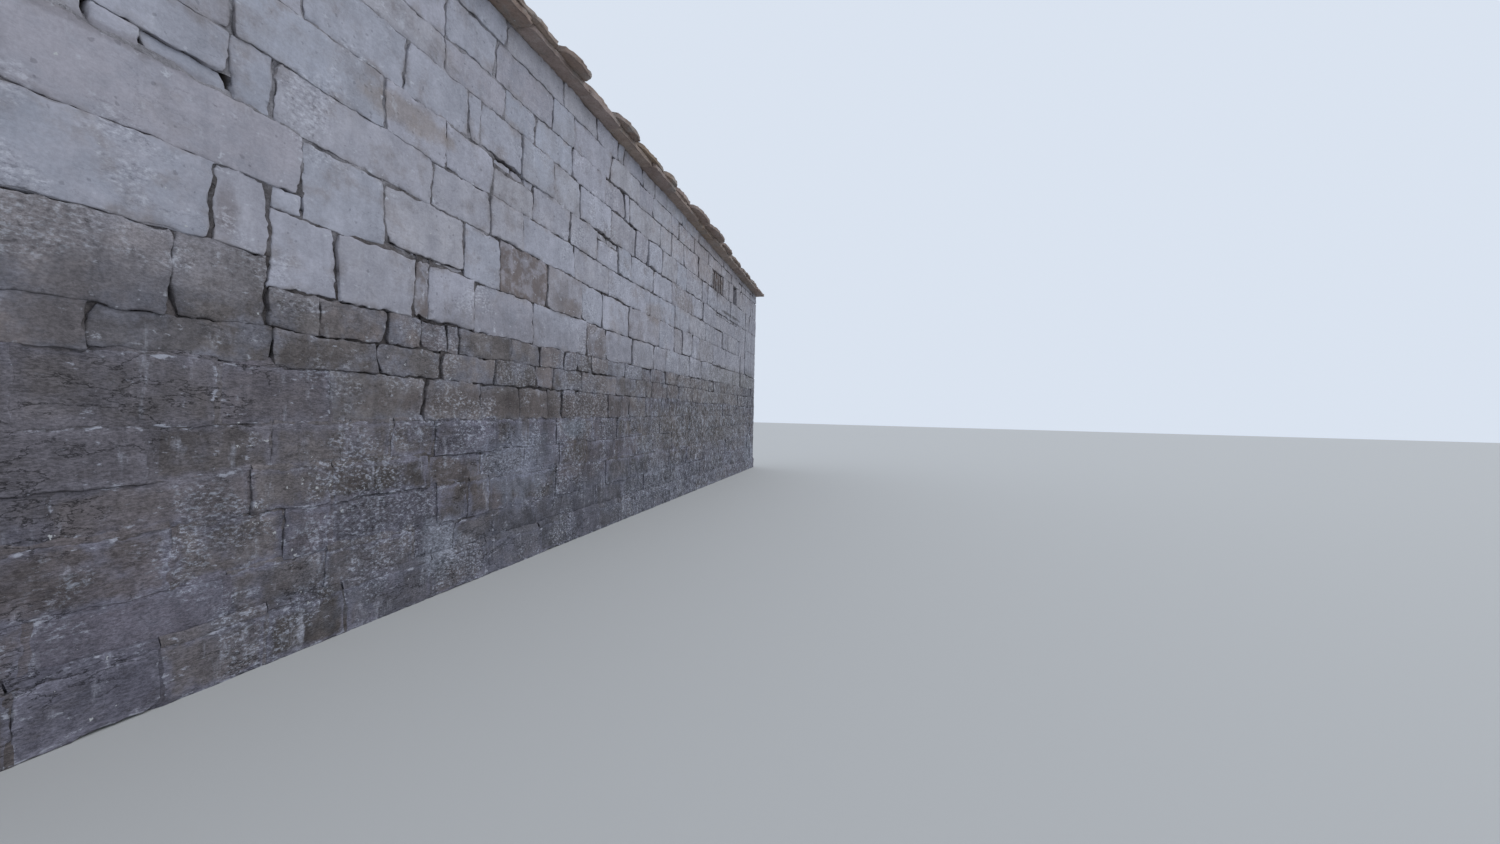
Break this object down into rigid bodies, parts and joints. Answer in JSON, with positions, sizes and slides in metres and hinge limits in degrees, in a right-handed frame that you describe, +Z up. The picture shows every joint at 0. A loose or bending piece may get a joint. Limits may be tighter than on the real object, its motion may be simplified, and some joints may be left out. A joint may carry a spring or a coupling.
{
  "type": "dry stone wall",
  "caption": "Tall free-standing length of dry stone wall in squared sandstone courses, with bonded ends, a vent slit and overhanging stone cover slabs.",
  "frame": {"origin": "on the ground under the middle of the wall", "axes": "+X along the wall towards the end with the vent slit, -Y out of the front face, +Z up"},
  "size_m": [14.14, 1.2711, 4.9862],
  "materials": {
    "pale_grey_stone": "weathered sandstone, matt, split faces",
    "brown_stone": "weathered brown sandstone, matt, split faces",
    "base_stone": "lichen-covered sandstone, matt",
    "corner_stone": "dressed sandstone, matt",
    "core_stone": "small packed stones, matt",
    "slab_stone": "split stone slabs, matt"
  },
  "bodies": {
    "root": {"front_course_01": "base_stone", "front_course_02": "base_stone", "front_course_03": "base_stone", "front_course_04": "base_stone", "front_course_05": "base_stone", "front_course_06": "brown_stone", "front_course_07": "brown_stone", "front_course_08": "brown_stone", "front_course_09": "pale_grey_stone", "front_course_10": "pale_grey_stone", "front_course_11": "pale_grey_stone", "front_course_12": "pale_grey_stone", "front_course_13": "pale_grey_stone", "front_course_14": "pale_grey_stone", "front_course_15": "pale_grey_stone", "front_course_16": "pale_grey_stone", "rear_course_01": "base_stone", "rear_course_02": "base_stone", "rear_course_03": "base_stone", "rear_course_04": "base_stone", "rear_course_05": "base_stone", "rear_course_06": "brown_stone", "rear_course_07": "brown_stone", "rear_course_08": "brown_stone", "rear_course_09": "pale_grey_stone", "rear_course_10": "pale_grey_stone", "rear_course_11": "pale_grey_stone", "rear_course_12": "pale_grey_stone", "rear_course_13": "pale_grey_stone", "rear_course_14": "pale_grey_stone", "rear_course_15": "pale_grey_stone", "rear_course_16": "pale_grey_stone", "corner_runners": "corner_stone", "corner_headers": "corner_stone", "upper_corner_block": "corner_stone", "through_stones": "pale_grey_stone", "hearting_lifts": "core_stone", "hearting_pockets": "core_stone", "slit_jambs": "pale_grey_stone", "slit_sill": "pale_grey_stone", "slit_lintel": "pale_grey_stone", "opening_infill": "brown_stone", "bed_slips": "pale_grey_stone", "lower_slabs": "slab_stone", "upper_slabs": "slab_stone"}
  },
  "joints": []
}
